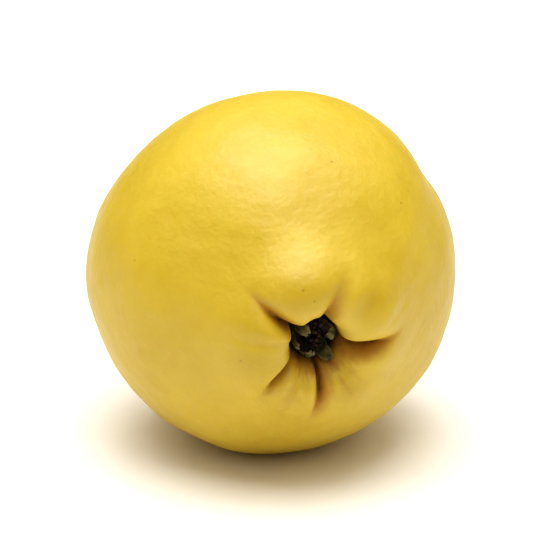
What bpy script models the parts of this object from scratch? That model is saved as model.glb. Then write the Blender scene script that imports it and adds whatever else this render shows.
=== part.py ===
"""A ripe quince, lying on its side with the eye (the calyx end) towards -Y.

The fruit is one solid. The dried flower stands in its eye: five sepals, a ring of stamens and
five styles. A stub of stalk sits in the pit at the other end. Metres, +Z up. The origin is the
middle of the fruit's footprint, on the surface that it lies on.
"""

import math
import random

import bmesh
import bpy
import numpy as np
from mathutils import Matrix, Vector

MM = 0.001

# --- Driving dimensions ---------------------------------------------------------------------

# Outlines of the fruit in millimetres, as (radius, height) about the core line, the eye upwards.
# They are the control points of B-splines from the floor of the eye to the pit of the stalk: one
# over the middle of a lobe and one along the bottom of a cleft, which meet past the shoulder.
LOBE_OUTLINE = [
    (0.0, 33.2), (2.4, 33.2), (4.6, 33.6), (5.7, 36.2), (5.3, 40.2), (6.2, 44.4), (10.4, 46.6),
    (15.6, 44.8), (19.8, 40.6), (24.2, 36.2), (30.8, 30.8), (37.8, 21.8), (42.2, 9.2),
    (42.8, -4.5), (39.8, -17.0), (33.2, -27.8), (25.2, -35.6), (17.0, -40.2), (10.6, -41.8),
    (6.2, -40.8), (4.6, -37.8), (2.8, -36.4), (0.0, -36.4),
]
CLEFT_OUTLINE = [
    (0.0, 33.2), (2.4, 33.2), (4.8, 33.6), (7.0, 34.4), (9.0, 35.4), (11.2, 36.4), (14.0, 37.4),
    (17.4, 37.6), (21.0, 36.6), (25.4, 33.8), (30.8, 29.0), (37.2, 20.8), (41.6, 8.8),
] + LOBE_OUTLINE[13:]
EYE_FLOOR = 33.2

# The clefts between the lobes and one lesser fold: azimuth in degrees where the radius is 12 mm,
# bend in degrees per mm outwards, depth as a share of the way from the lobe's outline to the
# cleft's, outline step where it starts to fade and step where it is gone, how wide its lobes
# round off into it in radians, how far in mm its bottom slides anticlockwise, and over how many
# radians its bottom is round.
CLEFTS = [
    (75.0, -0.3, 0.80, 4.4, 8.6, 0.38, 0.4, 0.08),
    (141.0, -0.2, 1.00, 4.8, 8.6, 0.40, 0.5, 0.02),
    (219.0, 0.8, 1.00, 4.8, 8.4, 0.30, -1.2, 0.02),
    (272.5, -0.75, 0.80, 5.4, 8.9, 0.24, -0.4, 0.02),
    (-9.0, 1.5, 1.00, 5.2, 8.8, 0.42, 1.6, 0.02),
    (287.0, 0.0, 0.22, 4.2, 8.0, 0.14, 0.0, 0.03),
]

# Swellings and hollows: azimuth, outline step, half width in degrees, half length in steps, and
# height in mm. The lobes of the crown come first, then the body's broad flats and fullnesses, and
# last the grooves of the stalk's pit.
SWELLINGS = [
    (107.0, 6.8, 36.0, 1.8, 2.0),
    (180.0, 6.8, 44.0, 1.8, 1.0),
    (245.0, 5.4, 28.0, 1.8, -2.2),
    (312.0, 5.2, 40.0, 1.8, -2.8),
    (34.0, 6.8, 36.0, 1.8, 1.0),
    (140.0, 9.4, 18.0, 2.0, -1.0),
    (140.0, 12.8, 24.0, 2.6, -1.2),
    (122.0, 15.0, 56.0, 2.6, -3.2),
    (31.0, 12.6, 10.0, 2.4, -1.0),
    (-26.0, 12.5, 22.0, 3.0, 0.3),
    (212.0, 13.0, 18.0, 3.0, -0.5),
    (100.0, 4.7, 30.0, 1.3, -1.25),
    (184.0, 4.7, 40.0, 1.3, -1.15),
    (86.0, 15.0, 34.0, 2.8, -1.1),
    (20.0, 19.0, 16.0, 1.8, -0.9),
    (128.0, 19.2, 20.0, 1.7, -0.7),
    (248.0, 19.0, 18.0, 1.8, -1.0),
]

SEGMENTS = 80  # faces round the fruit
RINGS = 40  # faces from the eye to the stalk pit

EYE_DROOP = 4.6  # degrees that the eye points below the level
FLAT_DEPTH = 1.2  # mm of the fruit's belly pressed flat where it rests

# The dried sepals: azimuth, and the blade's middle line from its root as (radius, height) in mm.
CURLED_IN = [(3.3, 34.2), (4.3, 35.8), (4.7, 37.6), (4.4, 39.3), (3.6, 40.2)]
UPRIGHT = [(3.3, 34.2), (4.3, 35.8), (4.7, 37.8), (4.5, 39.8), (4.2, 41.4)]
STRAIGHT = [(3.3, 34.2), (4.3, 35.8), (4.7, 37.6), (4.8, 39.4), (4.5, 41.0)]
LAID_OUT = [(3.3, 34.2), (4.3, 35.8), (4.7, 37.6), (5.3, 39.2), (6.5, 40.6)]
SEPALS = [(16.0, CURLED_IN), (136.0, UPRIGHT), (193.0, STRAIGHT), (250.0, UPRIGHT), (302.0, LAID_OUT)]
SEPAL_WIDTHS = [2.4, 3.1, 3.2, 2.6, 0.8]
SEPAL_THICKNESS = 0.4

STAMEN_COUNT = 20
STAMEN_RADIUS = 0.20
STYLE_COUNT = 5
STYLE_RADIUS = 0.28
FLOWER_GAP = 0.3  # clear of the fruit's skin, mm

STALK_RADIUS = 2.4
STALK_LENGTH = 8.5

SEED = 7


# --- The fruit's surface --------------------------------------------------------------------


def spline(points, step):
    """Points on the uniform cubic B-spline of an outline that crosses the core line at its ends."""
    cage = np.array(points, float)
    mirror = np.array([-1.0, 1.0])
    cage = np.vstack([cage[1] * mirror, cage, cage[-2] * mirror])
    first = np.clip(np.floor(step).astype(int), 0, len(points) - 2)
    t = (step - first)[:, None]
    weights = [
        (1 - t) ** 3,
        3 * t**3 - 6 * t**2 + 4,
        -3 * t**3 + 3 * t**2 + 3 * t + 1,
        t**3,
    ]
    return sum(w * cage[first + i] for i, w in enumerate(weights)) / 6


def smooth(low, high, value):
    """0 below low, 1 above high, and a smooth ramp between."""
    t = np.clip((value - low) / (high - low), 0, 1)
    return t * t * (3 - 2 * t)


def turn(azimuth, centre):
    """The signed angle in degrees from centre to azimuth, from -180 to 180."""
    return (azimuth - centre + 180) % 360 - 180


def outline_normal(step):
    """The outward direction of the lobe's outline, as (radius, height)."""
    last = len(LOBE_OUTLINE) - 1
    ahead = spline(LOBE_OUTLINE, np.clip(step + 0.02, 0, last))
    behind = spline(LOBE_OUTLINE, np.clip(step - 0.02, 0, last))
    along = ahead - behind
    return np.stack([-along[:, 1], along[:, 0]], axis=1) / np.linalg.norm(along, axis=1)[:, None]


def fruit_surface(azimuth, step):
    """Points in mm of the fruit's skin, for an azimuth in degrees and a step along the outline."""
    lobe, cleft = spline(LOBE_OUTLINE, step), spline(CLEFT_OUTLINE, step)
    swell = np.zeros_like(step)
    for centre, middle, width, length, height in SWELLINGS:
        near = (turn(azimuth, centre) / width) ** 2 + ((step - middle) / length) ** 2
        swell += height * np.exp(-near)
    lobe += outline_normal(step) * (swell * smooth(2.5, 4.5, step))[:, None]

    above, slide = np.ones_like(step), np.zeros_like(step)
    outwards = np.clip(lobe[:, 0], 6.0, 22.0) - 12.0
    for centre, bend, depth, fade_from, gone_at, rounding, lean, soft in CLEFTS:
        across = np.radians(turn(azimuth, centre + bend * outwards))
        reach = smooth(1.0, 3.0, step) * (1 - smooth(fade_from, gone_at, step))
        near = np.clip(1 - np.sqrt(across**2 + soft**2) / rounding, 0, 1)
        pinch = 1 - np.sqrt(1 - near**2)
        above *= 1 - depth * reach * pinch
        slide += lean * reach * near
    sink = (1 - above)[:, None]
    radius, height = (lobe * (1 - sink) + cleft * sink).T
    angle = np.radians(azimuth) + slide / np.maximum(radius, 5.0)
    return np.stack([radius * np.cos(angle), radius * np.sin(angle), height], axis=1)


# --- Blender helpers ------------------------------------------------------------------------


def clear_scene():
    for obj in list(bpy.data.objects):
        bpy.data.objects.remove(obj)


def material(name, colour, roughness):
    made = bpy.data.materials.new(name)
    made.use_nodes = True
    shader = made.node_tree.nodes["Principled BSDF"]
    shader.inputs["Base Color"].default_value = (*colour, 1.0)
    shader.inputs["Roughness"].default_value = roughness
    shader.inputs["Metallic"].default_value = 0.0
    return made


def add_object(name, data, parts, core, skin):
    made = bpy.data.objects.new(name, data)
    parts.objects.link(made)
    made.parent = core
    data.materials.append(skin)
    return made


def mesh_from(bm, name):
    mesh = bpy.data.meshes.new(name)
    bm.normal_update()
    bm.to_mesh(mesh)
    bm.free()
    mesh.shade_smooth()
    return mesh


# --- The pieces -----------------------------------------------------------------------------


def make_fruit(parts, core, skin):
    """The fruit: a sphere whose rings are drawn out to the outlines, with a flat to rest on."""
    bm = bmesh.new()
    bmesh.ops.create_uvsphere(bm, u_segments=SEGMENTS, v_segments=RINGS, radius=1.0)
    sphere = np.array([v.co for v in bm.verts])
    azimuth = np.degrees(np.arctan2(sphere[:, 1], sphere[:, 0]))
    polar = np.arccos(np.clip(sphere[:, 2], -1, 1))
    places = fruit_surface(azimuth, polar / math.pi * (len(LOBE_OUTLINE) - 1))
    for vert, place in zip(bm.verts, places):
        vert.co = Vector(place) * MM

    up = (core.matrix_world.to_3x3().inverted() @ Vector((0, 0, 1))).normalized()
    rest_level = min(vert.co.dot(up) for vert in bm.verts) + FLAT_DEPTH * MM
    for vert in bm.verts:
        vert.co += up * max(0.0, rest_level - vert.co.dot(up))
    add_object("fruit", mesh_from(bm, "fruit"), parts, core, skin)
    return rest_level


def make_sepal(index, azimuth, middle_line, parts, core, skin):
    """One dried sepal: a pointed blade, hollow towards the core line, that lines the eye's wall."""
    rows, columns = 8, 4
    knots = np.linspace(0, 1, len(middle_line))
    radii, heights = np.array(middle_line).T
    bm = bmesh.new()
    bmesh.ops.create_grid(bm, x_segments=rows, y_segments=columns, size=0.5)
    for vert in bm.verts:
        along, across = vert.co.x + 0.5, vert.co.y * 2
        radius, height = np.interp(along, knots, radii), np.interp(along, knots, heights)
        angle = math.radians(azimuth) + across * np.interp(along, knots, SEPAL_WIDTHS) / 2 / radius
        vert.co = Vector((radius * math.cos(angle), radius * math.sin(angle), height)) * MM
    sepal = add_object(f"sepal_{index}", mesh_from(bm, "sepal"), parts, core, skin)
    wall = sepal.modifiers.new("thickness", "SOLIDIFY")
    wall.thickness = SEPAL_THICKNESS * MM
    wall.offset = 0.0


def make_thread(name, points, radii, parts, core, skin):
    """A dried thread of the flower, as a bevelled curve through points in mm."""
    curve = bpy.data.curves.new(name, "CURVE")
    curve.dimensions = "3D"
    curve.bevel_depth = MM
    curve.bevel_resolution = 1
    curve.use_fill_caps = True
    line = curve.splines.new("POLY")
    line.points.add(len(points) - 1)
    for knot, place, radius in zip(line.points, points, radii):
        knot.co = (*(Vector(place) * MM), 1.0)
        knot.radius = radius
    add_object(name, curve, parts, core, skin)


def make_stamens(parts, core, skin):
    """Two rings of dried stamens, the outer one leaning out and the inner one standing up."""
    rng = random.Random(SEED)
    for i in range(STAMEN_COUNT):
        outer = i % 2 == 0
        azimuth = 2 * math.pi * i / STAMEN_COUNT
        foot, head = (2.45, rng.uniform(2.8, 3.2)) if outer else (1.75, rng.uniform(1.85, 2.0))
        length = rng.uniform(3.8, 4.6)
        points, radii = [], []
        for along, thick in ((0.0, 1.0), (0.4, 1.0), (0.8, 1.0), (0.88, 1.6), (1.0, 1.5)):
            radius = foot + (head - foot) * along**2
            height = EYE_FLOOR + 2 * FLOWER_GAP + length * along
            points.append((radius * math.cos(azimuth), radius * math.sin(azimuth), height))
            radii.append(STAMEN_RADIUS * thick)
        make_thread(f"stamen_{i + 1:02d}", points, radii, parts, core, skin)


def make_styles(parts, core, skin):
    """The five styles, upright in the middle of the eye."""
    for i in range(STYLE_COUNT):
        azimuth = 2 * math.pi * (i + 0.15) / STYLE_COUNT
        points, radii = [], []
        for along in (0.0, 0.5, 1.0):
            radius = 0.70 + 0.15 * along
            height = EYE_FLOOR + 2 * FLOWER_GAP + 4.4 * along
            points.append((radius * math.cos(azimuth), radius * math.sin(azimuth), height))
            radii.append(STYLE_RADIUS)
        make_thread(f"style_{i + 1}", points, radii, parts, core, skin)


def make_stalk(parts, core, skin):
    """The woody stub left in the pit where the fruit was picked: a turned profile."""
    pit = LOBE_OUTLINE[-1][1]
    top = pit - FLOWER_GAP
    profile = [
        (0.0, top),
        (0.75 * STALK_RADIUS, top),
        (0.86 * STALK_RADIUS, top - 0.25 * STALK_LENGTH),
        (0.84 * STALK_RADIUS, top - 0.55 * STALK_LENGTH),
        (STALK_RADIUS, top - 0.85 * STALK_LENGTH),
        (1.04 * STALK_RADIUS, top - 0.95 * STALK_LENGTH),
        (0.85 * STALK_RADIUS, top - STALK_LENGTH),
        (0.0, top - 0.97 * STALK_LENGTH),
    ]
    bm = bmesh.new()
    verts = [bm.verts.new(Vector((radius, 0, height)) * MM) for radius, height in profile]
    for upper, lower in zip(verts, verts[1:]):
        bm.edges.new((upper, lower))
    stalk = add_object("stalk", mesh_from(bm, "stalk"), parts, core, skin)
    screw = stalk.modifiers.new("turn", "SCREW")
    screw.steps = screw.render_steps = 20
    screw.use_merge_vertices = True
    screw.merge_threshold = 0.00001


def stand_on_origin(parts, core, rest_level):
    """Moves the core line so that the flat is at Z 0 and the whole box is centred on X and Y."""
    bpy.context.view_layer.update()
    graph = bpy.context.evaluated_depsgraph_get()
    corners = []
    for obj in parts.objects:
        if obj.type != "EMPTY":
            mesh = obj.evaluated_get(graph).to_mesh()
            corners += [obj.matrix_world @ vert.co for vert in mesh.vertices]
            obj.evaluated_get(graph).to_mesh_clear()
    middle = [(min(c[k] for c in corners) + max(c[k] for c in corners)) / 2 for k in range(2)]
    core.location = (-middle[0], -middle[1], -rest_level)


def main():
    clear_scene()
    parts = bpy.data.collections.new("quince")
    bpy.context.scene.collection.children.link(parts)
    core = bpy.data.objects.new("core_line", None)
    parts.objects.link(core)
    core.rotation_euler.x = math.radians(90 + EYE_DROOP)
    bpy.context.view_layer.update()

    skin = material("quince_skin", (0.76, 0.50, 0.06), 0.5)
    leaf = material("dried_sepal", (0.12, 0.13, 0.05), 0.8)
    thread = material("dried_thread", (0.03, 0.015, 0.012), 0.8)
    wood = material("stalk_wood", (0.14, 0.08, 0.035), 0.85)

    rest_level = make_fruit(parts, core, skin)
    for index, (azimuth, middle_line) in enumerate(SEPALS, 1):
        make_sepal(index, azimuth, middle_line, parts, core, leaf)
    make_stamens(parts, core, thread)
    make_styles(parts, core, thread)
    make_stalk(parts, core, wood)
    stand_on_origin(parts, core, rest_level)


main()
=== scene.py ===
import math
import random
from typing import NamedTuple

import bmesh
import bpy
import numpy as np
from mathutils import Matrix, Vector


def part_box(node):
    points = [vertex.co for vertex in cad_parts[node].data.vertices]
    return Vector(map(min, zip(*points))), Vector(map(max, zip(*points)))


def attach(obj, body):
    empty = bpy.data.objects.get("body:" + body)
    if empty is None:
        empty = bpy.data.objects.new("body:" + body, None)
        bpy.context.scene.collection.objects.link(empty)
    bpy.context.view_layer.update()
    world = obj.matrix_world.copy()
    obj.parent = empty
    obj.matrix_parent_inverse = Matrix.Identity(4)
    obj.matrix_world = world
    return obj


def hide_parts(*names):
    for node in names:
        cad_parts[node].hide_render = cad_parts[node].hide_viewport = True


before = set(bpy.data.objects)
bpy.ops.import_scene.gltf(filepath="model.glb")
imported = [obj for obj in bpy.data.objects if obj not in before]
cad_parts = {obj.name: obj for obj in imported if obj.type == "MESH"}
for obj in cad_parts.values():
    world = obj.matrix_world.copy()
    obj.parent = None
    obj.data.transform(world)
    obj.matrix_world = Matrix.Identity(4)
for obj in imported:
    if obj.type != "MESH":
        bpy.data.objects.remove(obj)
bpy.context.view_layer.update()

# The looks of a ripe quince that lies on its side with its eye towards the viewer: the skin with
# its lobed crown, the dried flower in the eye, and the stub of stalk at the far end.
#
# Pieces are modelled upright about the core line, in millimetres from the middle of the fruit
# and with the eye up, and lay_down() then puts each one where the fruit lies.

MM = 0.001
SEED = 11

# --- The fruit's shape ----------------------------------------------------------------------

# Outlines as (radius, height) in mm: control points of B-splines from the floor of the eye to
# the pit of the stalk, over the middle of a lobe and along the bottom of a cleft.
LOBE_OUTLINE = [
    (0.0, 33.2), (2.4, 33.2), (4.6, 33.6), (5.7, 36.2), (5.3, 40.2), (6.2, 44.4), (10.4, 46.6),
    (15.6, 44.8), (19.8, 40.6), (24.2, 36.2), (30.8, 30.8), (37.8, 21.8), (42.2, 9.2),
    (42.8, -4.5), (39.8, -17.0), (33.2, -27.8), (25.2, -35.6), (17.0, -40.2), (10.6, -41.8),
    (6.2, -40.8), (4.6, -37.8), (2.8, -36.4), (0.0, -36.4),
]
CLEFT_OUTLINE = [
    (0.0, 33.2), (2.4, 33.2), (4.8, 33.6), (7.0, 34.4), (9.0, 35.4), (11.2, 36.4), (14.0, 37.4),
    (17.4, 37.6), (21.0, 36.6), (25.4, 33.8), (30.8, 29.0), (37.2, 20.8), (41.6, 8.8),
] + LOBE_OUTLINE[13:]
LAST_STEP = len(LOBE_OUTLINE) - 1
EYE_FLOOR, PIT_FLOOR = LOBE_OUTLINE[0][1], LOBE_OUTLINE[-1][1]

OPENING_RADIUS = 6.0  # mm; inside it, furrows and pleats keep their angle
STATED_RADIUS = 12.0  # mm, where furrows and pleats have the azimuth that is given for them
CROWN_RADIUS = 22.0  # mm; outside it, they bend no further

# Steps along the outline, from 0 in the floor of the eye to LAST_STEP in the pit.
WELL_RIM = 4.6
PAINTED_LIP_LIGHT = (3.6, 4.6, 5.2, 6.2)  # the pale rim of painted light on the lips begins, is full, starts to fade and is gone
PIT_FOLDS = (17.4, 19.4, 20.6, 21.4)
RUSSET = (16.4, 21.0)  # begins, is full

WRINKLE_HEIGHT = 0.07  # mm


class Furrow(NamedTuple):
    """A cleft between two lobes of the crown, which runs out from the eye."""

    azimuth: float  # degrees, at the stated radius
    bend: float  # degrees per mm outwards
    depth: float
    fade_from: float  # steps along the outline
    gone_at: float
    rounding: float  # radians
    slide: float  # mm that its bottom lies aside
    soft: float  # radians of its bottom that are round
    dark: float  # how dark it is stained and painted with shade
    clockwise: float  # mm that the stain and painted shade reach to that side
    other_way: float


FURROWS = [
    Furrow(75.0, -0.3, 0.80, 4.4, 8.6, 0.38, 0.4, 0.08, 0.62, 2.8, 2.6),
    Furrow(141.0, -0.2, 1.00, 4.8, 9.2, 0.38, 0.5, 0.02, 1.00, 2.4, 1.3),
    Furrow(219.0, 0.8, 1.00, 4.8, 8.4, 0.30, -1.2, 0.02, 0.75, 1.0, 2.0),
    Furrow(272.5, -0.75, 0.80, 5.3, 8.9, 0.22, -0.4, 0.02, 0.90, 1.2, 3.2),
    Furrow(-9.0, 1.5, 1.00, 5.2, 8.8, 0.42, 1.6, 0.02, 0.92, 4.6, 1.4),
    Furrow(287.0, 0.0, 0.22, 4.2, 8.0, 0.14, 0.0, 0.03, 0.45, 1.4, 1.4),
]

# Pleats of the crown: azimuth at the stated radius, bend in degrees per mm outwards, middle and
# half length in steps, half width in mm, and height in mm, below 0 for a valley.
PLEATS = [
    (167.5, 0.5, 6.2, 1.2, 1.2, -0.38),
    (151.0, 1.4, 6.7, 1.3, 2.3, 0.22),
    (180.5, 0.7, 6.5, 1.4, 2.5, 0.20),
    (238.0, 0.0, 6.4, 1.0, 0.8, -0.42),
    (245.0, 0.0, 6.8, 1.2, 1.0, 0.22),
    (252.0, -0.2, 6.2, 1.1, 0.9, -0.22),
    (311.7, 0.0, 7.4, 1.6, 1.3, -0.30),
    (301.0, 0.1, 6.6, 1.2, 1.0, -0.20),
    (328.0, 0.4, 7.0, 1.4, 1.2, -0.18),
    (45.0, -0.4, 6.6, 0.9, 2.3, -0.40),
    (22.0, 0.3, 7.0, 1.4, 1.6, 0.20),
    (12.0, 0.6, 7.8, 1.2, 1.2, -0.18),
    (58.0, 0.4, 6.6, 1.0, 1.5, 0.20),
    (96.0, -0.2, 6.4, 0.9, 1.3, 0.12),
    (121.0, 0.0, 6.6, 1.0, 1.4, -0.15),
]

# Swellings and hollows: azimuth, step, half width in degrees, half length in steps, height in mm.
# The last three make the stalk's pit uneven.
SWELLINGS = [
    (107.0, 6.8, 36.0, 1.8, 2.0),
    (180.0, 6.8, 44.0, 1.8, 1.0),
    (245.0, 5.4, 28.0, 1.8, -2.2),
    (312.0, 5.2, 40.0, 1.8, -2.8),
    (34.0, 6.8, 36.0, 1.8, 1.0),
    (140.0, 9.4, 18.0, 2.0, -1.0),
    (140.0, 12.8, 24.0, 2.6, -1.2),
    (122.0, 15.0, 56.0, 2.6, -3.2),
    (31.0, 12.6, 10.0, 2.4, -1.0),
    (-26.0, 12.5, 22.0, 3.0, 0.3),
    (212.0, 13.0, 18.0, 3.0, -0.5),
    (100.0, 4.7, 30.0, 1.3, -1.25),
    (184.0, 4.7, 40.0, 1.3, -1.15),
    (86.0, 15.0, 34.0, 2.8, -1.1),
    (20.0, 19.0, 16.0, 1.8, -0.9),
    (128.0, 19.2, 20.0, 1.7, -0.7),
    (248.0, 19.0, 18.0, 1.8, -1.0),
]

# Painted shade: dark places on the lower rim of the opening, and dark streaks in the folds outside
# it, where shade falls: azimuth, step, half width in degrees, half length in steps, darkness.
PAINTED_SHADE_PLACES = [
    (-28.0, 3.6, 17.0, 1.3, 0.82),
    (234.0, 3.6, 22.0, 0.9, 0.90),
    (272.0, 3.7, 20.0, 1.1, 0.95),
    (300.0, 3.7, 20.0, 1.0, 0.90),
    (244.0, 6.9, 3.5, 0.9, 0.20),
    (301.0, 6.0, 3.2, 1.2, 0.30),
    (317.0, 5.8, 4.0, 1.0, 0.26),
]

# Noses of the lobes, of a deeper yellow that is partly their own colour and partly painted shade
# where they face away from the light: azimuth, step, half width in degrees and half length in
# steps.
DEEP_AND_SHADED_PATCHES = [
    (108.0, 6.9, 20.0, 0.8),
    (154.0, 7.2, 14.0, 1.0),
    (186.0, 6.9, 14.0, 1.0),
    (42.0, 6.9, 14.0, 0.8),
    (302.0, 6.7, 16.0, 0.8),
]

# Dark specks on the skin: azimuth, step, size in mm.
SPECKS = [
    (108.0, 6.9, 0.5),
    (102.0, 6.4, 0.45),
    (185.0, 7.4, 0.5),
    (160.0, 11.2, 0.45),
]

EYE_DROOP = 4.6  # degrees below level
FLAT_DEPTH = 1.2  # mm of the belly pressed flat where the fruit rests


def spline(points, step):
    """Points on the cubic B-spline of an outline, which crosses the core line at its ends."""
    cage = np.array(points, float)
    mirror = np.array([-1.0, 1.0])
    cage = np.vstack([cage[1] * mirror, cage, cage[-2] * mirror])
    first = np.clip(np.floor(step).astype(int), 0, LAST_STEP - 1)
    t = (step - first)[:, None]
    weights = [
        (1 - t) ** 3,
        3 * t**3 - 6 * t**2 + 4,
        -3 * t**3 + 3 * t**2 + 3 * t + 1,
        t**3,
    ]
    return sum(w * cage[first + i] for i, w in enumerate(weights)) / 6


def smooth(low, high, value):
    """0 below low, 1 above high, and a smooth ramp between."""
    t = np.clip((value - low) / (high - low), 0, 1)
    return t * t * (3 - 2 * t)


def window(begin, full, fading, gone, value):
    """1 from full to fading, 0 outside begin and gone, and smooth between."""
    return smooth(begin, full, value) * (1 - smooth(fading, gone, value))


def bell(azimuth, step, centre, middle, width, length):
    """1 at a place of the skin, and fading smoothly round it."""
    return np.exp(-((turn(azimuth, centre) / width) ** 2) - ((step - middle) / length) ** 2)


def turn(azimuth, centre):
    """The signed angle in degrees from centre to azimuth."""
    return (azimuth - centre + 180) % 360 - 180


def ripple(places, wavelength, count, rng):
    """A smooth random field, about -1 to 1, whose waves are about that long."""
    field = np.zeros(len(places))
    for _ in range(count):
        way = rng.normal(size=3)
        way *= 2 * math.pi / wavelength / np.linalg.norm(way) * rng.uniform(0.6, 1.5)
        field += np.sin(places @ way + rng.uniform(0, 2 * math.pi))
    return field / math.sqrt(count)


def outline_normal(step):
    """Outwards across the lobe's outline, as (radius, height)."""
    ahead = spline(LOBE_OUTLINE, np.clip(step + 0.02, 0, LAST_STEP))
    behind = spline(LOBE_OUTLINE, np.clip(step - 0.02, 0, LAST_STEP))
    along = ahead - behind
    return np.stack([-along[:, 1], along[:, 0]], axis=1) / np.linalg.norm(along, axis=1)[:, None]


def wrinkles(azimuth, step, rng):
    """Fine folds, about -1 to 1, round the eye, most on the lower lobes, and round the pit."""
    turned = np.radians(azimuth)
    folds = np.zeros_like(step)
    for _ in range(12):
        count, swirl = rng.integers(17, 52), rng.uniform(-0.10, 0.10)
        begin, end = rng.uniform(3.6, 4.6), rng.uniform(5.2, 7.4)
        reach = window(begin, begin + 0.8, end - 1.4, end, step)
        patch = 0.5 + 0.5 * np.cos(turned * rng.integers(1, 4) + rng.uniform(0, 6.3))
        wave = np.sin(count * (turned + swirl * step) + rng.uniform(0, 6.3))
        folds += reach * patch * wave
    lower_side = smooth(-0.2, 0.7, -np.sin(turned + 0.15))
    folds *= 0.35 + 0.65 * lower_side
    for _ in range(8):
        count, swirl = rng.integers(9, 34), rng.uniform(-0.08, 0.08)
        patch = 0.5 + 0.5 * np.cos(turned * rng.integers(1, 3) + rng.uniform(0, 6.3))
        wave = np.sin(count * (turned + swirl * step) + rng.uniform(0, 6.3))
        folds += 1.3 * window(*PIT_FOLDS, step) * patch * wave
    return folds / 3.2


def fruit_surface(azimuth, step):
    """Points of the skin in mm, and about 0 to 1 how stained and painted with shade and how russet
    it is there.
    """
    rng = np.random.default_rng(SEED)
    lobe, cleft = spline(LOBE_OUTLINE, step), spline(CLEFT_OUTLINE, step)
    normal = outline_normal(step)
    turned = np.radians(azimuth)
    swell = np.zeros_like(step)
    for *place, height in SWELLINGS:
        swell += height * bell(azimuth, step, *place)
    swell *= smooth(2.5, 4.5, step)
    radius, height = lobe.T
    round_about = np.stack([radius * np.cos(turned), radius * np.sin(turned), height], axis=1)
    swell += 0.16 * ripple(round_about, 22.0, 14, rng) * smooth(6.0, 10.0, step)
    swell += 0.05 * ripple(round_about, 7.0, 18, rng) * smooth(3.0, 6.0, step)
    lobe += normal * swell[:, None]

    radius = np.maximum(lobe[:, 0], OPENING_RADIUS)
    outwards = np.minimum(radius, CROWN_RADIUS) - STATED_RADIUS
    pleat_valley_depth = np.zeros_like(step)
    for centre, bend, middle, length, width, height in PLEATS:
        across = np.radians(turn(azimuth, centre + bend * outwards)) * radius
        pleat = height * np.exp(-((across / width) ** 2) - ((step - middle) / length) ** 2)
        pleat *= smooth(3.5, 5.0, step)
        lobe += normal * pleat[:, None]
        pleat_valley_depth += np.maximum(-pleat, 0)
    wrinkle = wrinkles(azimuth, step, rng)
    lobe += normal * (WRINKLE_HEIGHT * wrinkle)[:, None]

    # Brown round the opening, more on the lower lobes: partly stain and partly painted shade under
    # the sepals.
    below = smooth(-0.1, 0.5, -np.sin(turned))
    stain_and_shade = (0.30 + 0.25 * below) * (1 - smooth(3.6, 5.0 + 0.8 * below, step))
    # Painted shade on the opening's lower rim and in the folds outside it.
    for *place, dark in PAINTED_SHADE_PLACES:
        stain_and_shade = np.maximum(stain_and_shade, dark * bell(azimuth, step, *place))
    # Darker in the valleys of the wrinkles and pleats.
    stain_and_shade += 0.20 * np.maximum(-wrinkle, 0) + 0.45 * pleat_valley_depth

    raised, slide = np.ones_like(step), np.zeros_like(step)
    for furrow in FURROWS:
        across = np.radians(turn(azimuth, furrow.azimuth + furrow.bend * outwards))
        reach = window(1.0, 3.0, furrow.fade_from, furrow.gone_at, step)
        near = np.clip(1 - np.sqrt(across**2 + furrow.soft**2) / furrow.rounding, 0, 1)
        raised *= 1 - furrow.depth * reach * (1 - np.sqrt(1 - near**2))
        slide += furrow.slide * reach * near
        # Rust and painted shade along the furrow, reaching its own distance to each side.
        wide = np.where(across < 0, furrow.clockwise, furrow.other_way)
        spread = 1 - np.clip(np.abs(across) * radius / wide, 0, 1)
        reach = window(1.0, 3.0, furrow.fade_from + 0.4, furrow.gone_at, step)
        stain_and_shade = np.maximum(stain_and_shade, furrow.dark * reach * spread**0.8)
    sunk = (1 - raised)[:, None]
    radius, height = (lobe * (1 - sunk) + cleft * sunk).T
    angle = turned + slide / np.maximum(radius, 5.0)

    patchy = 0.92 - 0.12 * wrinkle + 0.22 * ripple(round_about, 5.0, 12, rng)
    russet = smooth(*RUSSET, step) * patchy
    places = np.stack([radius * np.cos(angle), radius * np.sin(angle), height], axis=1)
    return places, stain_and_shade, russet


# --- Modelling helpers ----------------------------------------------------------------------


def deselect_all():
    for obj in list(bpy.context.selected_objects):
        obj.select_set(False)


def pick_only(obj):
    deselect_all()
    obj.select_set(True)
    bpy.context.view_layer.objects.active = obj


def apply_modifiers(obj):
    pick_only(obj)
    for modifier in list(obj.modifiers):
        bpy.ops.object.modifier_apply(modifier=modifier.name)


def select_points(obj, wanted):
    """In edit mode, selects the vertices whose place in the mesh passes the test."""
    bm = bmesh.from_edit_mesh(obj.data)
    bm.select_mode = {"VERT"}
    for vert in bm.verts:
        vert.select = wanted(vert.co)
    bm.select_flush_mode()
    bmesh.update_edit_mesh(obj.data)


CORE_TURN = Matrix.Rotation(math.radians(90 + EYE_DROOP), 4, "X")


def find_core_place(places):
    """Where the middle of the fruit goes: its box over the solid's, its flat on the floor."""
    turned = places @ np.array(CORE_TURN.to_3x3()).T * MM
    low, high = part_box("fruit")
    least, most = turned.min(axis=0), turned.max(axis=0)
    middle = [(low[k] + high[k]) / 2 - (least[k] + most[k]) / 2 for k in (0, 1)]
    return Matrix.Translation((*middle, -(least[2] + FLAT_DEPTH * MM)))


def lay_down(obj, core_place):
    """Takes a piece from the upright core line in mm to its place in the frame in metres."""
    placed = core_place @ CORE_TURN @ Matrix.Scale(MM, 4)
    obj.data.transform(placed @ obj.matrix_world)
    obj.matrix_world = Matrix.Identity(4)


def give_attribute(mesh, name, values):
    """Stores a value for each vertex, for the material to read."""
    attribute = mesh.attributes.new(name, "FLOAT", "POINT")
    attribute.data.foreach_set("value", values.astype(np.float32))


def move_vertices(mesh, places):
    mesh.vertices.foreach_set("co", places.astype(np.float32).ravel())
    mesh.update()


def finish_piece(obj, finish, slot, *nodes):
    """Gives a piece its material, hangs it on the root body, and hides the solids it stands for."""
    obj.data.materials.clear()
    obj.data.materials.append(finish.material)
    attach(obj, "root")
    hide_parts(*nodes)


# --- Materials ------------------------------------------------------------------------------


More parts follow.
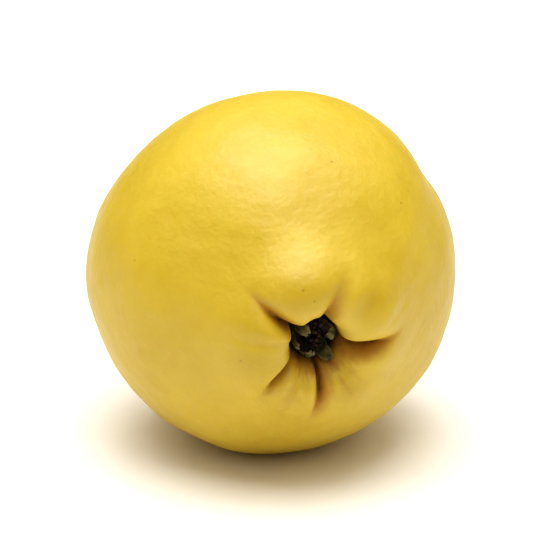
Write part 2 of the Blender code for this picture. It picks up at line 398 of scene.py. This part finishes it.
class Value:
    """The output of a shader node, which Python's operators join to others with Math nodes."""

    def __init__(self, finish, socket):
        self.finish, self.socket = finish, socket

    def math(self, operation, first, second):
        return self.finish.add("ShaderNodeMath", {"operation": operation}, {0: first, 1: second})

    def __add__(self, other):
        return self.math("ADD", self, other)

    __radd__ = __add__

    def __mul__(self, other):
        return self.math("MULTIPLY", self, other)

    __rmul__ = __mul__

    def __rsub__(self, other):
        return self.math("SUBTRACT", other, self)

    def between(self, low, high):
        """0 at low, 1 at high and a smooth ramp between. low may be the larger."""
        inputs = {"Value": self, "From Min": low, "From Max": high}
        return self.finish.add("ShaderNodeMapRange", {"interpolation_type": "SMOOTHSTEP"}, inputs)


class Nodes:
    """A node tree and what is needed to fill it."""

    def __init__(self, tree):
        self.tree = tree

    def add(self, kind, settings=None, inputs=None, out=0):
        """A new node of that type, with its settings, and then its sockets' values or links."""
        node = self.tree.nodes.new(kind)
        for key, value in (settings or {}).items():
            setattr(node, key, value)
        for key, value in (inputs or {}).items():
            self.feed(node.inputs[key], value)
        return Value(self, node.outputs[out])

    def feed(self, socket, value):
        if isinstance(value, Value):
            self.tree.links.new(value.socket, socket)
        elif socket.type == "RGBA":
            socket.default_value = (*value, 1.0)
        else:
            socket.default_value = value

    def blend(self, share, first, second):
        """The first colour, or the second where share is 1."""
        inputs = {0: share, 6: first, 7: second}
        return self.add("ShaderNodeMix", {"data_type": "RGBA"}, inputs, out=2)


class Finish(Nodes):
    """A material, made of one shader and the patterns that feed it."""

    def __init__(self, name, **settings):
        self.material = bpy.data.materials.new(name)
        self.material.use_nodes = True
        super().__init__(self.material.node_tree)
        self.shader = self.tree.nodes["Principled BSDF"]
        self.place = self.add("ShaderNodeTexCoord", out="Object")
        for key, value in settings.items():
            self.feed(self.shader.inputs[key.replace("_", " ")], value)

    def noise(self, size, detail=2.0, rough=0.5, place=None):
        """Noise, about 0.3 to 0.7, in blotches about that many mm across."""
        inputs = {"Scale": 1 / (size * MM), "Detail": detail, "Roughness": rough}
        return self.add("ShaderNodeTexNoise", None, {"Vector": place or self.place, **inputs})

    def spots(self, spacing, out="Distance"):
        """Scattered points about that many mm apart: how far the nearest is, or its colour."""
        inputs = {"Vector": self.place, "Scale": 1 / (spacing * MM)}
        return self.add("ShaderNodeTexVoronoi", None, inputs, out)

    def attribute(self, name):
        return self.add("ShaderNodeAttribute", {"attribute_name": name}, out="Fac")

    def away_from(self, point):
        """Distance in mm from a point of the frame."""
        inputs = {0: self.place, 1: point}
        apart = self.add("ShaderNodeVectorMath", {"operation": "DISTANCE"}, inputs, "Value")
        return apart * (1 / MM)

    def colour(self, value):
        self.feed(self.shader.inputs["Base Color"], value)

    def roughness(self, value):
        self.feed(self.shader.inputs["Roughness"], value)

    def bump(self, height, depth):
        """Height from 0 to 1, and how many mm deep 1 is. Called again, it adds to the last."""
        inputs = {"Height": height, "Distance": depth * MM, "Strength": 1.0}
        normal = self.shader.inputs["Normal"]
        if normal.is_linked:
            inputs["Normal"] = Value(self, normal.links[0].from_socket)
        self.feed(normal, self.add("ShaderNodeBump", None, inputs))


# Colours of the skin. The pale lip yellow is painted light, the two near blacks are painted shade,
# and the deep yellow and the rust brown are partly painted shade.
GOLD, BRIGHT_GOLD, PALE_GOLD = (0.512, 0.358, 0.011), (0.572, 0.412, 0.020), (0.58, 0.425, 0.036)
DEEP_AND_SHADED_YELLOW, PAINTED_LIGHT_YELLOW, PORE_YELLOW = (0.45, 0.305, 0.002), (0.65, 0.48, 0.085), (0.86, 0.62, 0.14)
FRECKLE_BROWN, SPECK_BROWN = (0.30, 0.15, 0.02), (0.16, 0.08, 0.012)
RUST_AND_SHADE_BROWN, CREASE_SHADE_BLACK, WELL_SHADE_BLACK = (0.36, 0.140, 0.010), (0.045, 0.016, 0.008), (0.020, 0.009, 0.007)
PIT_GREEN, PIT_BROWN, DOWN_GREY = (0.36, 0.33, 0.020), (0.250, 0.130, 0.028), (0.52, 0.47, 0.30)

PORE_SPACING, FRECKLE_SPACING = 1.7, 7.5  # mm


def skin_finish(speck_places):
    """Waxy yellow skin, with rust and painted shade in the furrows and eye, painted light on the
    upper lips, russet round the stalk.
    """
    skin = Finish(
        "quince_skin",
        Specular_IOR_Level=0.60,
        Subsurface_Weight=0.18,
        Subsurface_Radius=(1.0, 0.45, 0.08),
        Subsurface_Scale=0.003,
    )
    names = ("stain_and_shade", "well_shade", "painted_lip_light", "deep_and_shaded", "russet")
    stain_and_shade, well_shade, painted_lip_light, deep_and_shaded, russet = (skin.attribute(name) for name in names)

    blotch = skin.noise(26.0, 3.0, 0.55).between(0.36, 0.66)
    mottle = skin.noise(5.0, 4.0, 0.6).between(0.3, 0.7)
    warm = skin.blend(blotch, GOLD, BRIGHT_GOLD)
    base = skin.blend(mottle * 0.35, warm, PALE_GOLD)
    # A deeper yellow on the noses of the lobes: partly their own colour, partly painted shade.
    base = skin.blend(deep_and_shaded * 0.65, base, DEEP_AND_SHADED_YELLOW)
    # Painted light: a pale rim on the lips of the upper lobes.
    base = skin.blend(painted_lip_light * 0.45, base, PAINTED_LIGHT_YELLOW)

    pores = skin.spots(PORE_SPACING).between(0.22, 0.06)
    base = skin.blend(pores * 0.07, base, PORE_YELLOW)
    lot = skin.add("ShaderNodeSeparateColor", None, {0: skin.spots(FRECKLE_SPACING, "Color")})
    freckle = skin.spots(FRECKLE_SPACING).between(0.055, 0.03) * lot.between(0.72, 0.74)
    base = skin.blend(freckle * 0.55, base, FRECKLE_BROWN)
    for place, size in speck_places:
        ragged = skin.away_from(place) + skin.noise(0.6) * 0.3
        base = skin.blend(ragged.between(size + 0.15, size * 0.3) * 0.5, base, SPECK_BROWN)

    uneven = skin.noise(1.8, 3.0).between(0.25, 0.75) * 0.24 + 0.80
    # Rust brown: partly the skin's rust, partly painted shade in the furrows and round the opening.
    rust_and_shade = (stain_and_shade * uneven).between(0.0, 0.70)
    base = skin.blend(rust_and_shade * 0.80, base, RUST_AND_SHADE_BROWN)
    # Near black: painted shade at the bottoms of the furrows and on the opening's lower rim.
    deepest_crease_shade = (stain_and_shade * uneven).between(0.62, 1.0)
    base = skin.blend(deepest_crease_shade * 0.80, base, CREASE_SHADE_BLACK)
    # Near black painted shade in the well of the eye.
    painted_well_shade = (well_shade * (uneven * 0.4 + 0.7)).between(0.25, 0.75)
    base = skin.blend(painted_well_shade, base, WELL_SHADE_BLACK)

    cracked = skin.noise(0.9, 4.0, 0.65) * 0.7 + skin.noise(3.5, 3.0) * 0.9 + 0.20
    green = russet.between(0.1, 0.8)
    base = skin.blend(green * 0.45, base, PIT_GREEN)
    brown = (russet * cracked).between(0.35, 1.05)
    base = skin.blend(brown * 0.80, base, PIT_BROWN)
    down = green * skin.noise(2.6, 4.0, 0.7).between(0.55, 0.70)
    base = skin.blend(down * 0.30, base, DOWN_GREY)
    skin.colour(base)

    waxy = skin.noise(3.0, 3.0).between(0.3, 0.7) * 0.08 + 0.43
    skin.roughness(waxy + rust_and_shade * 0.2 + green * 0.25)
    skin.bump(skin.noise(6.0, 2.0), 0.08)
    skin.bump(skin.noise(1.55, 1.5, 0.5), 0.15)
    skin.bump(1 - pores, 0.012)
    return skin


# --- The fruit ------------------------------------------------------------------------------


def make_fruit():
    """A sphere whose rings are drawn out to the outlines, and where its core line lies."""
    deselect_all()
    bpy.ops.mesh.primitive_uv_sphere_add(segments=90, ring_count=66, radius=1.0)
    fruit = bpy.context.object
    fruit.name = fruit.data.name = "quince_fruit"
    finer = fruit.modifiers.new("finer", "SUBSURF")
    finer.subdivision_type = "SIMPLE"
    finer.levels = finer.render_levels = 2
    apply_modifiers(fruit)

    mesh = fruit.data
    sphere = np.array([vert.co for vert in mesh.vertices])
    azimuth = np.degrees(np.arctan2(sphere[:, 1], sphere[:, 0]))
    polar = np.arctan2(np.hypot(sphere[:, 0], sphere[:, 1]), sphere[:, 2])
    step = polar / math.pi * LAST_STEP
    places, stain_and_shade, russet = fruit_surface(azimuth, step)
    core_place = find_core_place(places)

    # Masks for the material: painted light on the upper lips, painted shade in the well, and the
    # deeper yellow that is partly painted shade.
    upper_side = smooth(-0.35, 0.25, np.sin(np.radians(azimuth)))
    give_attribute(mesh, "stain_and_shade", stain_and_shade)
    give_attribute(mesh, "russet", russet)
    give_attribute(mesh, "well_shade", 1 - smooth(1.6, WELL_RIM, step))
    give_attribute(mesh, "painted_lip_light", window(*PAINTED_LIP_LIGHT, step) * upper_side)
    give_attribute(mesh, "deep_and_shaded", sum(bell(azimuth, step, *patch) for patch in DEEP_AND_SHADED_PATCHES))
    move_vertices(mesh, places)
    lay_down(fruit, core_place)
    for vert in mesh.vertices:
        vert.co.z = max(vert.co.z, 0.0)
    mesh.shade_smooth()
    return fruit, core_place


def on_skin(core_place, azimuth, step):
    """The place in the frame of a point of the skin."""
    place = fruit_surface(np.array([azimuth]), np.array([step]))[0][0]
    return core_place @ CORE_TURN @ (Vector(place) * MM)


# --- The dried flower in the eye ------------------------------------------------------------


def sepal_finish():
    """Dull dried leaf, green and brown in patches, with a paler rim."""
    leaf = Finish("dried_sepal", Specular_IOR_Level=0.25, Roughness=0.8)
    patch = leaf.noise(1.8, 3.0).between(0.35, 0.65)
    base = leaf.blend(patch, (0.060, 0.062, 0.018), (0.145, 0.140, 0.050))
    withered = leaf.noise(0.7, 3.0).between(0.45, 0.7)
    base = leaf.blend(withered * 0.6, base, (0.045, 0.022, 0.010))
    rim = leaf.attribute("rim").between(0.5, 1.0)
    base = leaf.blend(rim * 0.7, base, (0.20, 0.165, 0.085))
    leaf.colour(base)
    leaf.bump(leaf.noise(0.5, 3.0), 0.10)
    return leaf


def thread_finish():
    """Dried stamens and styles, nearly black, with a few lighter bits."""
    thread = Finish("dried_thread", Specular_IOR_Level=0.3, Roughness=0.75)
    patch = thread.noise(1.2, 3.0).between(0.4, 0.68)
    base = thread.blend(patch, (0.012, 0.005, 0.004), (0.050, 0.021, 0.014))
    light_bits = thread.noise(2.4, 2.0).between(0.60, 0.72)
    base = thread.blend(light_bits * 0.6, base, (0.10, 0.070, 0.045))
    thread.colour(base)
    thread.bump(thread.noise(0.3, 3.0), 0.08)
    return thread


# Middle lines of the blades as (radius, height) in mm, from the root to the tip.
SEPAL_ROOT = [(3.3, 34.2), (4.3, 35.8), (4.7, 37.6)]
CURLED_IN = SEPAL_ROOT + [(4.7, 39.2), (4.2, 40.4), (3.3, 40.8), (2.7, 40.2)]
UPRIGHT = SEPAL_ROOT + [(4.6, 39.0), (4.2, 40.2), (3.5, 40.9), (2.8, 40.7)]
STRAIGHT = SEPAL_ROOT + [(4.8, 39.0), (4.8, 40.0), (4.7, 40.7), (4.5, 41.1)]
LAID_OUT = [
    (3.3, 34.2), (4.2, 35.8), (4.6, 37.2), (4.9, 38.4), (5.4, 39.3), (6.0, 39.9), (6.5, 40.1),
]
SEPALS = [  # azimuth, middle line, share of the full width
    (16.0, CURLED_IN, 0.95),
    (136.0, UPRIGHT, 1.0),
    (193.0, STRAIGHT, 0.70),
    (250.0, UPRIGHT, 0.95),
    (302.0, LAID_OUT, 1.1),
]
SEPAL_WIDTHS = [2.4, 3.1, 3.4, 3.2, 2.8, 2.0, 0.7]  # mm, from the root to the tip
SEPAL_COLUMNS = 7
SEPAL_HEIGHT = 8.0  # mm above the floor of the eye
SEPAL_THICKNESS = 0.26


def crumple_sepal(sepal, index, middle_line, share):
    """Folds the root, curls the sides inwards, crumples the tip and bends it round the eye."""
    places = np.array([vert.co for vert in sepal.data.vertices])
    x, y, z = places.T
    along = (z - EYE_FLOOR) / SEPAL_HEIGHT
    rows = sorted((height, wide) for (_, height), wide in zip(middle_line, SEPAL_WIDTHS))
    heights, widths = zip(*rows)
    half = np.maximum(np.interp(z, heights, widths) * share / 2, 0.3)
    across = np.clip(y / half, -1, 1)
    crumple = ripple(places, 2.2, 10, np.random.default_rng(SEED + index))
    fold = 0.10 * np.cos(across * 9.0) * (1 - along) + 0.28 * crumple * along
    radius = x + fold - 0.7 * across**2 * along * (0.4 + 0.6 * along)
    jagged = 1 + 0.10 * ripple(places, 0.9, 8, np.random.default_rng(index)) * np.abs(across)
    angle = y * jagged / np.maximum(x, 2.6)
    height = z + 0.12 * crumple * along
    places = np.stack([radius * np.cos(angle), radius * np.sin(angle), height], axis=1)
    move_vertices(sepal.data, places)
    give_attribute(sepal.data, "rim", np.maximum(np.abs(across) ** 3, along**5))


def make_sepal(index, azimuth, middle_line, share):
    """A dried blade: a strip whose cross rows are moved, narrowed and crumpled one by one."""
    rows = list(enumerate(zip(middle_line, SEPAL_WIDTHS)))
    rng = random.Random(SEED + index)
    deselect_all()
    bpy.ops.mesh.primitive_grid_add(
        x_subdivisions=len(rows) - 1, y_subdivisions=SEPAL_COLUMNS - 1, size=2.0
    )
    sepal = bpy.context.object
    sepal.name = sepal.data.name = f"dried_sepal_{index}"
    bpy.ops.object.mode_set(mode="EDIT")
    for row, ((radius, height), width) in reversed(rows):
        at = -1 + 2 * row / (len(rows) - 1)
        select_points(sepal, lambda co: abs(co.x - at) < 0.05 and co.z == 0)
        half = width / 2 * share * rng.uniform(0.88, 1.1)
        bpy.ops.transform.resize(value=(1, half, 1), center_override=(at, 0, 0))
        bpy.ops.transform.translate(value=(radius - at, 0, height))
    select_points(sepal, lambda co: True)
    bpy.ops.mesh.subdivide(number_cuts=2, smoothness=1.0)
    bpy.ops.object.mode_set(mode="OBJECT")
    crumple_sepal(sepal, index, middle_line, share)

    wall = sepal.modifiers.new("thickness", "SOLIDIFY")
    wall.thickness = SEPAL_THICKNESS
    wall.offset = 0.0
    soft = sepal.modifiers.new("soft", "SUBSURF")
    soft.levels = soft.render_levels = 1
    apply_modifiers(sepal)
    sepal.data.shade_smooth()
    sepal.rotation_euler.z = math.radians(azimuth)
    bpy.context.view_layer.update()
    return sepal


STAMEN_COUNT, STYLE_COUNT = 20, 5
STAMEN_RADII = [0.26, 0.20, 0.18, 0.17, 0.17, 0.16, 0.12]  # mm, from the foot to the head
STYLE_RADII = [0.30, 0.26, 0.24, 0.38]
STYLE_LENGTH = 5.4
THREAD_FOOT = EYE_FLOOR + 0.2  # mm, clear of the floor of the eye


def make_thread(name, knots, radii):
    """A dried thread along a smooth path through points in mm."""
    deselect_all()
    bpy.ops.curve.primitive_nurbs_path_add()
    thread = bpy.context.object
    thread.name = name
    path = thread.data
    path.splines.clear()
    line = path.splines.new("NURBS")
    line.points.add(len(knots) - 1)
    for point, knot, radius in zip(line.points, knots, radii):
        point.co = (*knot, 1.0)
        point.radius = radius
    line.use_endpoint_u = True
    line.order_u = 4
    path.resolution_u = 3
    path.bevel_depth = 1.0
    path.bevel_resolution = 3
    path.use_fill_caps = True
    bpy.ops.object.convert(target="MESH")
    thread.data.name = name
    thread.data.shade_smooth()
    return thread


def make_anther(index, tip, rng):
    """A ball drawn out long, pinched along its middle and roughened."""
    deselect_all()
    bpy.ops.mesh.primitive_uv_sphere_add(segments=14, ring_count=10, radius=0.50, location=tip)
    anther = bpy.context.object
    anther.scale = (rng.uniform(0.6, 0.8), 1.0, rng.uniform(1.2, 1.7))
    anther.rotation_euler = (rng.uniform(-1.4, 1.4), rng.uniform(-1.0, 1.0), rng.uniform(0, 3))
    bpy.ops.object.mode_set(mode="EDIT")
    select_points(anther, lambda co: abs(co.x) < 0.10)
    bpy.ops.transform.resize(value=(1.0, 0.55, 0.8), center_override=tip)
    bpy.ops.mesh.select_all(action="SELECT")
    bpy.ops.transform.vertex_random(offset=0.10, seed=index)
    bpy.ops.object.mode_set(mode="OBJECT")
    anther.data.shade_smooth()
    return anther


def make_stamen(index, rng):
    """A crooked thread with a shrivelled two-lobed head. Every other one stands further out."""
    outer = index % 2 == 1
    azimuth = 2 * math.pi * (index - 1) / STAMEN_COUNT + rng.uniform(-0.12, 0.12)
    foot, head = (2.45, rng.uniform(2.6, 3.5)) if outer else (1.6, rng.uniform(0.9, 2.2))
    length = rng.uniform(4.4, 5.6) if outer else rng.uniform(4.8, 6.0)
    drift = rng.uniform(-0.5, 0.5)
    knots = []
    for along in (0.0, 0.2, 0.4, 0.6, 0.8, 0.92, 1.0):
        crook = 0.28 * math.sin(math.pi * along) + 0.05
        radius = foot + (head - foot) * along**2 + rng.uniform(-crook, crook)
        angle = azimuth + drift * along + rng.uniform(-crook, crook) / max(radius, 1.0)
        height = THREAD_FOOT + length * along - 0.7 * along**6
        knots.append((radius * math.cos(angle), radius * math.sin(angle), height))
    stamen = make_thread(f"dried_stamen_{index:02d}", knots, STAMEN_RADII)
    anther = make_anther(index, Vector(knots[-1]), rng)
    pick_only(stamen)
    anther.select_set(True)
    bpy.ops.object.join()
    return stamen


def make_style(index, rng):
    """A short thread that thickens at its tip and leans outwards."""
    azimuth = 2 * math.pi * (index - 0.85) / STYLE_COUNT
    lean = rng.uniform(0.2, 0.9)
    knots = []
    for along in (0.0, 0.35, 0.7, 1.0):
        radius = 0.55 + lean * along**2
        angle = azimuth + rng.uniform(-0.2, 0.2)
        height = THREAD_FOOT + STYLE_LENGTH * along
        knots.append((radius * math.cos(angle), radius * math.sin(angle), height))
    return make_thread(f"dried_style_{index}", knots, STYLE_RADII)


# --- The stalk ------------------------------------------------------------------------------


STALK_RADIUS = 1.9  # mm
STALK_TOP, STALK_BOTTOM = PIT_FLOOR - 0.3, PIT_FLOOR - 1.1  # the cylinder that is drawn out
# The rings that are drawn out of it: how far down, and how wide against the last one.
STALK_RINGS = [
    (1.2, 1.06), (1.4, 0.98), (1.5, 1.03), (1.3, 1.08), (1.0, 1.09), (0.8, 1.06), (0.4, 0.94),
]
STALK_INSETS = [(0.5, 0.0), (0.6, -0.25), (0.5, 0.1)]  # thickness and depth in the broken end


def stalk_finish():
    """Grey-brown bark with fibres along it, and paler wood at the broken end."""
    wood = Finish("stalk_wood", Specular_IOR_Level=0.25, Roughness=0.85)
    along_core = {"Rotation": (math.radians(EYE_DROOP), 0, 0), "Scale": (1, 0.22, 1)}
    stretched = wood.add("ShaderNodeMapping", None, {"Vector": wood.place, **along_core})
    fibre = wood.noise(0.7, 4.0, 0.6, stretched)
    patch = wood.noise(2.5, 3.0).between(0.4, 0.65)
    base = wood.blend(patch, (0.11, 0.062, 0.026), (0.20, 0.135, 0.070))
    base = wood.blend(fibre.between(0.45, 0.62), base, (0.055, 0.030, 0.014))
    bare = wood.attribute("broken") * fibre.between(0.3, 0.55)
    base = wood.blend(bare, base, (0.42, 0.29, 0.14))
    wood.colour(base)
    wood.bump(fibre, 0.35)
    return wood


def make_stalk():
    """A woody stub: a cylinder drawn out ring by ring, with a splintered end."""
    deselect_all()
    bpy.ops.mesh.primitive_cylinder_add(
        vertices=32,
        radius=STALK_RADIUS,
        depth=STALK_TOP - STALK_BOTTOM,
        end_fill_type="NGON",
        location=(0, 0, (STALK_TOP + STALK_BOTTOM) / 2),
    )
    stalk = bpy.context.object
    stalk.name = stalk.data.name = "woody_stalk"
    bpy.ops.object.transform_apply(location=True)
    bpy.ops.object.mode_set(mode="EDIT")
    select_points(stalk, lambda co: co.z < STALK_BOTTOM + 0.01)
    for drop, wide in STALK_RINGS:
        bpy.ops.mesh.extrude_region_move(TRANSFORM_OT_translate={"value": (0, 0, -drop)})
        bpy.ops.transform.resize(value=(wide, wide, 1))
    for thickness, depth in STALK_INSETS:
        bpy.ops.mesh.inset(thickness=thickness, depth=depth)
    bpy.ops.object.mode_set(mode="OBJECT")
    soft = stalk.modifiers.new("soft", "SUBSURF")
    soft.levels = soft.render_levels = 2
    apply_modifiers(stalk)

    rng = np.random.default_rng(SEED)
    places = np.array([vert.co for vert in stalk.data.vertices])
    fibres = ripple(places * np.array([1.0, 1.0, 0.16]), 1.3, 16, rng)
    ridges = fibres * 0.07 + ripple(places, 3.0, 8, rng) * 0.08
    lowest = STALK_BOTTOM - sum(drop for drop, _ in STALK_RINGS)
    end = 1 - smooth(lowest + 0.1, lowest + 0.9, places[:, 2])
    outwards = places * np.array([1.0, 1.0, 0.0])
    outwards /= np.maximum(np.linalg.norm(outwards, axis=1), 0.4)[:, None]
    places += outwards * ridges[:, None]
    places[:, 2] += end * ripple(places, 0.9, 12, rng) * 0.16
    move_vertices(stalk.data, places)
    give_attribute(stalk.data, "broken", end)
    stalk.data.shade_smooth()
    return stalk


# --- Floor, light and camera ----------------------------------------------------------------

FLOOR_RADIUS = 3.0  # metres
FLOOR_WHITE, BACKDROP_WHITE = (0.91, 0.885, 0.83), (0.585, 0.560, 0.510)
ROOM_WALLS, ROOM_CEILING = (0.27, 0.188, 0.09), (0.80, 0.80, 0.80)
SOFTBOX_PLACE = (-0.03, -0.04, 0.85)  # metres
SOFTBOX_SIZE, SOFTBOX_POWER = 0.84, 8.6  # metres, watts

CAMERA_AZIMUTH, CAMERA_ELEVATION = math.radians(-15.0), math.radians(20.0)
CAMERA_DISTANCE = 0.75
FRAME_WIDTH = 0.1231  # metres of the object's plane that the picture spans
AIM_LEFT, AIM_UP = 0.0006, 0.0003  # metres off the middle of the fruit's box
SENSOR_WIDTH = 36.0


def make_floor():
    deselect_all()
    bpy.ops.mesh.primitive_circle_add(vertices=96, radius=FLOOR_RADIUS, fill_type="NGON")
    floor = bpy.context.object
    floor.name = "floor"
    paper = Finish("floor_paper", Roughness=0.9, Specular_IOR_Level=0.1)
    paper.colour(FLOOR_WHITE)
    floor.data.materials.append(paper.material)


def make_backdrop():
    """A pale wall round the floor that is only seen, and neither lights nor shades anything."""
    deselect_all()
    bpy.ops.mesh.primitive_cylinder_add(
        vertices=96,
        radius=FLOOR_RADIUS - 0.02,
        depth=4.0,
        end_fill_type="NOTHING",
        location=(0, 0, 1.99),
    )
    backdrop = bpy.context.object
    backdrop.name = "backdrop"
    pale = Finish("backdrop_paper", Roughness=1.0, Specular_IOR_Level=0.0, Emission_Strength=1.0)
    pale.colour((0.0, 0.0, 0.0))
    pale.feed(pale.shader.inputs["Emission Color"], BACKDROP_WHITE)
    backdrop.data.materials.append(pale.material)
    backdrop.visible_diffuse = backdrop.visible_glossy = backdrop.visible_transmission = False
    backdrop.visible_shadow = False


def light_room():
    """A warm room with a bright ceiling, and one large soft light over the fruit."""
    world = bpy.data.worlds.new("white_room")
    bpy.context.scene.world = world
    world.use_nodes = True
    room = Nodes(world.node_tree)
    way = room.add("ShaderNodeTexCoord", out="Generated")
    upwards = room.add("ShaderNodeSeparateXYZ", None, {0: way}, out="Z")
    inside = room.blend(upwards.between(0.1, 0.9), ROOM_WALLS, ROOM_CEILING)
    room.feed(world.node_tree.nodes["Background"].inputs["Color"], inside)

    light = bpy.data.lights.new("overhead", "AREA")
    light.size = SOFTBOX_SIZE
    light.energy = SOFTBOX_POWER
    softbox = bpy.data.objects.new("overhead", light)
    softbox.location = SOFTBOX_PLACE
    softbox.rotation_mode = "QUATERNION"
    softbox.rotation_quaternion = Vector(SOFTBOX_PLACE).to_track_quat("Z", "Y")
    bpy.context.scene.collection.objects.link(softbox)
    bpy.context.scene.view_settings.view_transform = "Standard"
    bpy.context.scene.view_settings.look = "Medium High Contrast"


def make_camera():
    low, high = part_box("fruit")
    right = Vector((math.cos(CAMERA_AZIMUTH), math.sin(CAMERA_AZIMUTH), 0))
    level = Vector((math.sin(CAMERA_AZIMUTH), -math.cos(CAMERA_AZIMUTH), 0))
    back = level * math.cos(CAMERA_ELEVATION) + Vector((0, 0, math.sin(CAMERA_ELEVATION)))
    aim = (low + high) / 2 - AIM_LEFT * right + AIM_UP * back.cross(right)
    lens = bpy.data.cameras.new("camera")
    lens.sensor_width = SENSOR_WIDTH
    lens.lens = SENSOR_WIDTH * CAMERA_DISTANCE / FRAME_WIDTH
    camera = bpy.data.objects.new("camera", lens)
    camera.location = aim + back * CAMERA_DISTANCE
    camera.rotation_mode = "QUATERNION"
    camera.rotation_quaternion = back.to_track_quat("Z", "Y")
    bpy.context.scene.collection.objects.link(camera)
    bpy.context.scene.camera = camera


# --- Everything together --------------------------------------------------------------------


def main():
    fruit, core_place = make_fruit()
    speck_places = [(on_skin(core_place, azimuth, step), size) for azimuth, step, size in SPECKS]
    finish_piece(fruit, skin_finish(speck_places), "quince_skin", "fruit")

    leaf, thread = sepal_finish(), thread_finish()
    rng = random.Random(SEED)
    for index, (azimuth, middle_line, share) in enumerate(SEPALS, 1):
        sepal = make_sepal(index, azimuth, middle_line, share)
        lay_down(sepal, core_place)
        finish_piece(sepal, leaf, "dried_sepal", f"sepal_{index}")
    for index in range(1, STAMEN_COUNT + 1):
        stamen = make_stamen(index, rng)
        lay_down(stamen, core_place)
        finish_piece(stamen, thread, "dried_thread", f"stamen_{index:02d}")
    for index in range(1, STYLE_COUNT + 1):
        style = make_style(index, rng)
        lay_down(style, core_place)
        finish_piece(style, thread, "dried_thread", f"style_{index}")
    stalk = make_stalk()
    lay_down(stalk, core_place)
    finish_piece(stalk, stalk_finish(), "stalk_wood", "stalk")

    make_floor()
    make_backdrop()
    light_room()
    make_camera()


main()
